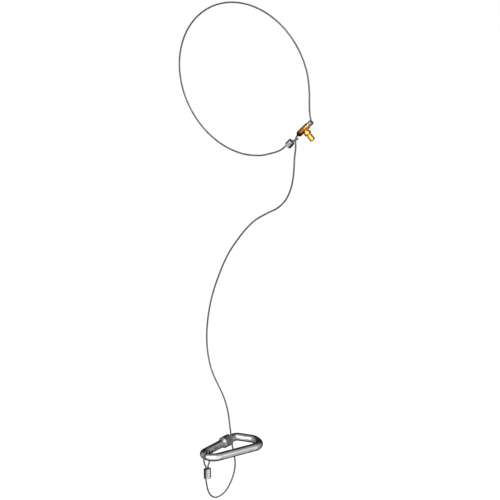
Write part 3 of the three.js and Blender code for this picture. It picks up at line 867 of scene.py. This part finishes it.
def bent_bar():
    """The round bar, from the nose round the wide bend and along the spine to the hinge end."""
    route = rounded_route([
        (on_gate_line(NOSE_FACE), 0),
        (Vector((35.5, 50.2, 0)), 10),
        (Vector((60.7, 25.6, 0)), 20),
        (Vector((62.7, 0, 0)), 14),
        (Vector((-42, 0, 0)), 19),
        (on_gate_line(-13.8), 8.5),
        (on_gate_line(ROD_END), 0),
    ], 3, 1.5)
    rings = []
    for index, point in enumerate(route):
        before = route[max(index - 1, 0)]
        after = route[min(index + 1, len(route) - 1)]
        outward = (after - before).normalized().cross(Vector((0, 0, 1)))
        on_the_spine = abs(point.y) < 0.5
        into = min(point.x - SPINE_FLAT["start"], SPINE_FLAT["end"] - point.x) / SPINE_FLAT["run_out"]
        flat = max(0.0, min(1.0, into)) if on_the_spine else 0.0
        rings.append(bar_ring(point, outward, flat))
    return loft("carabiner_bar", rings)


def carabiner_body():
    """The bent bar with its hooked nose's tongue and latch notch, and its hinge tongue and pin hole."""
    bar = bent_bar()
    half_nose, nose_width = NOSE_TONGUE["thickness"] / 2, NOSE_TONGUE["half_width"]
    half_hinge, hinge_width = HINGE_TONGUE["thickness"] / 2, HINGE_TONGUE["radius"]
    added = [
        block((TONGUE_START, -nose_width, -half_nose), (NOSE_FACE + 1, nose_width, half_nose)),
        block((ROD_END - 2, -hinge_width, -half_hinge), (0, hinge_width, half_hinge)),
        rod(hinge_width, -half_hinge, half_hinge, sides=72),
    ]
    cut = [
        block((LATCH_STATION - 1.5, -7, -4), (LATCH_STATION + 1.3, 1.3, 4)),
        rod(HINGE_PIN["tongue_hole"], -6, 6),
    ]
    combine(bar, "UNION", [moved(tool, GATE_IN_CARABINER) for tool in added])
    combine(bar, "DIFFERENCE", [moved(tool, GATE_IN_CARABINER) for tool in cut])
    soften(bar, 0.35, angle=50)
    return put(bar, CARABINER, "carabiner", ["carabiner_body"], carabiner_steel)


def spoked_ring(station, spokes):
    """A ring of points across the gate's line, from (radius, angle) pairs."""
    return [(station, radius * math.cos(angle), radius * math.sin(angle)) for radius, angle in spokes]


def gate_radius(station, turn):
    """The gate's radius there: plain, a thread that winds under the sleeve, and a rounded tip."""
    if station > GATE_TIP - 1:
        return ROD_RADIUS - (station - GATE_TIP + 1) ** 2
    if THREAD["start"] <= station <= THREAD["end"]:
        wound = station / THREAD["pitch"] - turn
        ridge = abs(2 * (wound - math.floor(wound)) - 1)
        return ROD_RADIUS - THREAD["root"] + THREAD["height"] * ridge
    return ROD_RADIUS


def gate_bar():
    """The gate: a bar with a fork at each end, a screw thread for its sleeve and a bore for its spring."""
    stations = [ROD_END, *np.arange(0, THREAD["start"], 2.0)]
    stations += [*np.arange(THREAD["start"], THREAD["end"], 0.25), THREAD["end"]]
    stations += [GATE_TIP - 1.0, GATE_TIP - 0.6, GATE_TIP - 0.25, GATE_TIP]
    turns = [side / 96 for side in range(96)]
    bar = loft("gate_bar", [
        spoked_ring(station, [(gate_radius(station, turn), math.tau * turn) for turn in turns])
        for station in stations
    ])
    knuckle = rod(KNUCKLE_RADIUS, -9, 9, sides=96)
    keep = combine(block((0, -9, -9), (GATE_TIP + 1, 9, 9)), "UNION", [knuckle])
    combine(bar, "INTERSECT", [keep])
    half_hinge, half_nose = HINGE_TONGUE["slot"] / 2, NOSE_TONGUE["slot"] / 2
    cut = [
        moved(rod(GATE_BORE["radius"], GATE_BORE["start"], GATE_BORE["end"]), Z_TO_X),
        block((-9, -9, -half_hinge), (7, 9, half_hinge)),
        block((TONGUE_START - 0.5, -9, -half_nose), (GATE_TIP + 1, 9, half_nose)),
        rod(HINGE_PIN["hole"], -9, 9),
        moved(rod(LATCH_PIN["hole"], -9, 9), Matrix.Translation((LATCH_STATION, 0, 0))),
    ]
    combine(bar, "DIFFERENCE", cut)
    soften(bar, 0.2, angle=60)
    return put(bar, GATE, "gate", ["gate"], carabiner_steel)


def rivet(name, size, station, body, node_name):
    """A pin across the gate with domed ends."""
    radius, half, dome = size["radius"], size["length"] / 2, 0.35
    pin = lathe(name, [
        (0, -half), (radius * 0.7, -half), (radius, dome - half), (radius, half - dome),
        (radius * 0.7, half), (0, half),
    ], edge=0.2, sides=48)
    place = GATE @ Matrix.Translation((station, 0, 0))
    return put(pin, place, body, [node_name], inner_steel)


def push_rod():
    pin = lathe("spring_push_rod", [(0, 6.4), (2.7, 6.4), (2.7, 9), (1.4, 9.2), (1.4, 17), (0, 17)], sides=64)
    return put(pin, GATE @ Z_TO_X, "gate", ["gate_push_rod"], inner_steel)


def gate_spring():
    spring = coil("gate_coil_spring", GATE_SPRING)
    return put(spring, GATE @ Z_TO_X, "gate", ["gate_spring"], inner_steel, angle=60)


def screw_sleeve():
    """The locking sleeve: straight flutes between two plain bands, chamfered at both ends."""
    start, end, outer = SLEEVE["start"], SLEEVE["end"], SLEEVE["radius"]
    bore, rim = SLEEVE["bore"], SLEEVE["rim"]
    flutes_start, flutes_end = start + FLUTES["start"], end - FLUTES["end"]
    outside = [
        (start, outer - rim), (start + rim, outer), (start + 2.0, outer), (start + 2.4, outer),
        (start + 2.8, outer), (end - 3.6, outer), (end - 3.2, outer), (end - 2.8, outer),
        (end - rim, outer), (end, outer - rim),
    ]
    sides = FLUTES["count"] * 8
    angles = [math.tau * side / sides for side in range(sides)]
    grooves = [(0.5 - 0.5 * math.cos(FLUTES["count"] * angle)) ** 1.5 for angle in angles]
    rings = []
    for station, radius in [*outside, (end, bore), (start, bore)]:
        depth = FLUTES["depth"] if flutes_start < station < flutes_end else 0.0
        rings.append(spoked_ring(station, [(radius - depth * g, angle) for g, angle in zip(grooves, angles)]))
    sleeve = loft("fluted_sleeve", rings, around=True)
    return put(sleeve, GATE, "screw_sleeve", ["screw_sleeve"], sleeve_steel)


def sleeve_ring():
    """The bright ring just behind the sleeve."""
    front = SLEEVE["start"] - RING["gap"]
    rear = front - RING["length"]
    outer, bore, chamfer = RING["radius"], SLEEVE["bore"], 0.4
    ring = lathe("ring_behind_sleeve", [
        (bore, rear), (outer - chamfer, rear), (outer, rear + chamfer), (outer, front), (bore, front),
    ], edge=0.2)
    return put(ring, GATE @ Z_TO_X, "sleeve_ring", ["sleeve_ring"], ring_steel)


carabiner_body()
gate_bar()
rivet("hinge_rivet", HINGE_PIN, 0, "carabiner", "gate_hinge_pin")
rivet("latch_crosspin", LATCH_PIN, LATCH_STATION, "gate", "gate_latch_pin")
push_rod()
gate_spring()
screw_sleeve()
sleeve_ring()


# ---------- studio ----------
FLOOR_LEVEL = -1.6
FLOOR_HALF = 25.0
LIGHTS_AIM = Vector((0, 0, -0.5))


def matte(name, colour, glow):
    """A dull surface that also glows white."""
    material = bpy.data.materials.new(name)
    material.use_nodes = True
    shader = material.node_tree.nodes["Principled BSDF"]
    shader.inputs["Base Color"].default_value = (*colour, 1)
    shader.inputs["Roughness"].default_value = 0.9
    shader.inputs["Emission Color"].default_value = (1, 1, 1, 1)
    shader.inputs["Emission Strength"].default_value = glow
    return material


def floor():
    """The ground, below the sling. It glows past white, and the metal doesn't mirror it."""
    ends = ((-1, -1), (1, -1), (1, 1), (-1, 1))
    corners = [(FLOOR_HALF * x, FLOOR_HALF * y, FLOOR_LEVEL) for x, y in ends]
    piece = mesh_object("studio_floor", corners, [(0, 1, 2, 3)])
    piece.data.materials.append(matte("pale_floor", grey(0.5), 0.71))
    piece.visible_glossy = False


def soft_light(name, place, size, power):
    """A rectangular lamp that faces the middle of the sling."""
    data = bpy.data.lights.new(name, "AREA")
    data.shape = "RECTANGLE"
    data.size, data.size_y = size
    data.energy = power
    light = bpy.data.objects.new(name, data)
    light.location = place
    light.rotation_mode = "QUATERNION"
    light.rotation_quaternion = (LIGHTS_AIM - Vector(place)).to_track_quat("-Z", "Y")
    bpy.context.scene.collection.objects.link(light)


def along(tree, direction, axis, stops):
    """Brightness by how far a direction leans along an axis: stops run from -1, away, to 1, towards it."""
    lean = node(tree, "ShaderNodeVectorMath", operation="DOT_PRODUCT")
    tree.links.new(direction, lean.inputs[0])
    lean.inputs[1].default_value = axis
    share = node(tree, "ShaderNodeMapRange")
    share.inputs["From Min"].default_value = -1.0
    tree.links.new(lean.outputs["Value"], share.inputs["Value"])
    return ramp(tree, share.outputs["Result"], [((stop + 1) / 2, grey(value)) for stop, value in stops])


def studio_sky():
    """Bright in front and to the right, dim on the left and below, black behind."""
    world = bpy.data.worlds.new("studio")
    world.use_nodes = True
    tree = world.node_tree
    tree.nodes.clear()
    out = node(tree, "ShaderNodeOutputWorld")
    back = node(tree, "ShaderNodeBackground", Strength=1.15)
    tree.links.new(back.outputs["Background"], out.inputs["Surface"])
    direction = node(tree, "ShaderNodeTexCoord").outputs["Generated"]
    front = along(tree, direction, (0.6, -0.8, 0), [
        (-1, 0.015), (-0.62, 0.03), (-0.5, 0.1), (-0.38, 0.22), (0, 0.42),
        (0.28, 0.46), (0.42, 0.75), (0.56, 1.0), (0.8, 1.35),
    ])
    below = along(tree, direction, (0, 0, 1), [
        (-1, 0.08), (-0.85, 0.15), (-0.7, 0.45), (-0.5, 0.75), (0, 1.0),
    ])
    both = node(tree, "ShaderNodeMath", operation="MULTIPLY")
    tree.links.new(front, both.inputs[0])
    tree.links.new(below, both.inputs[1])
    tree.links.new(both.outputs["Value"], back.inputs["Color"])
    bpy.context.scene.world = world


floor()
studio_sky()
soft_light("key", (1.6, -2.6, 2.4), (2.2, 1.6), 65)
soft_light("fill", (-0.2, -3.2, 0.6), (1.8, 2.4), 30)

bpy.context.scene.view_settings.view_transform = "Standard"
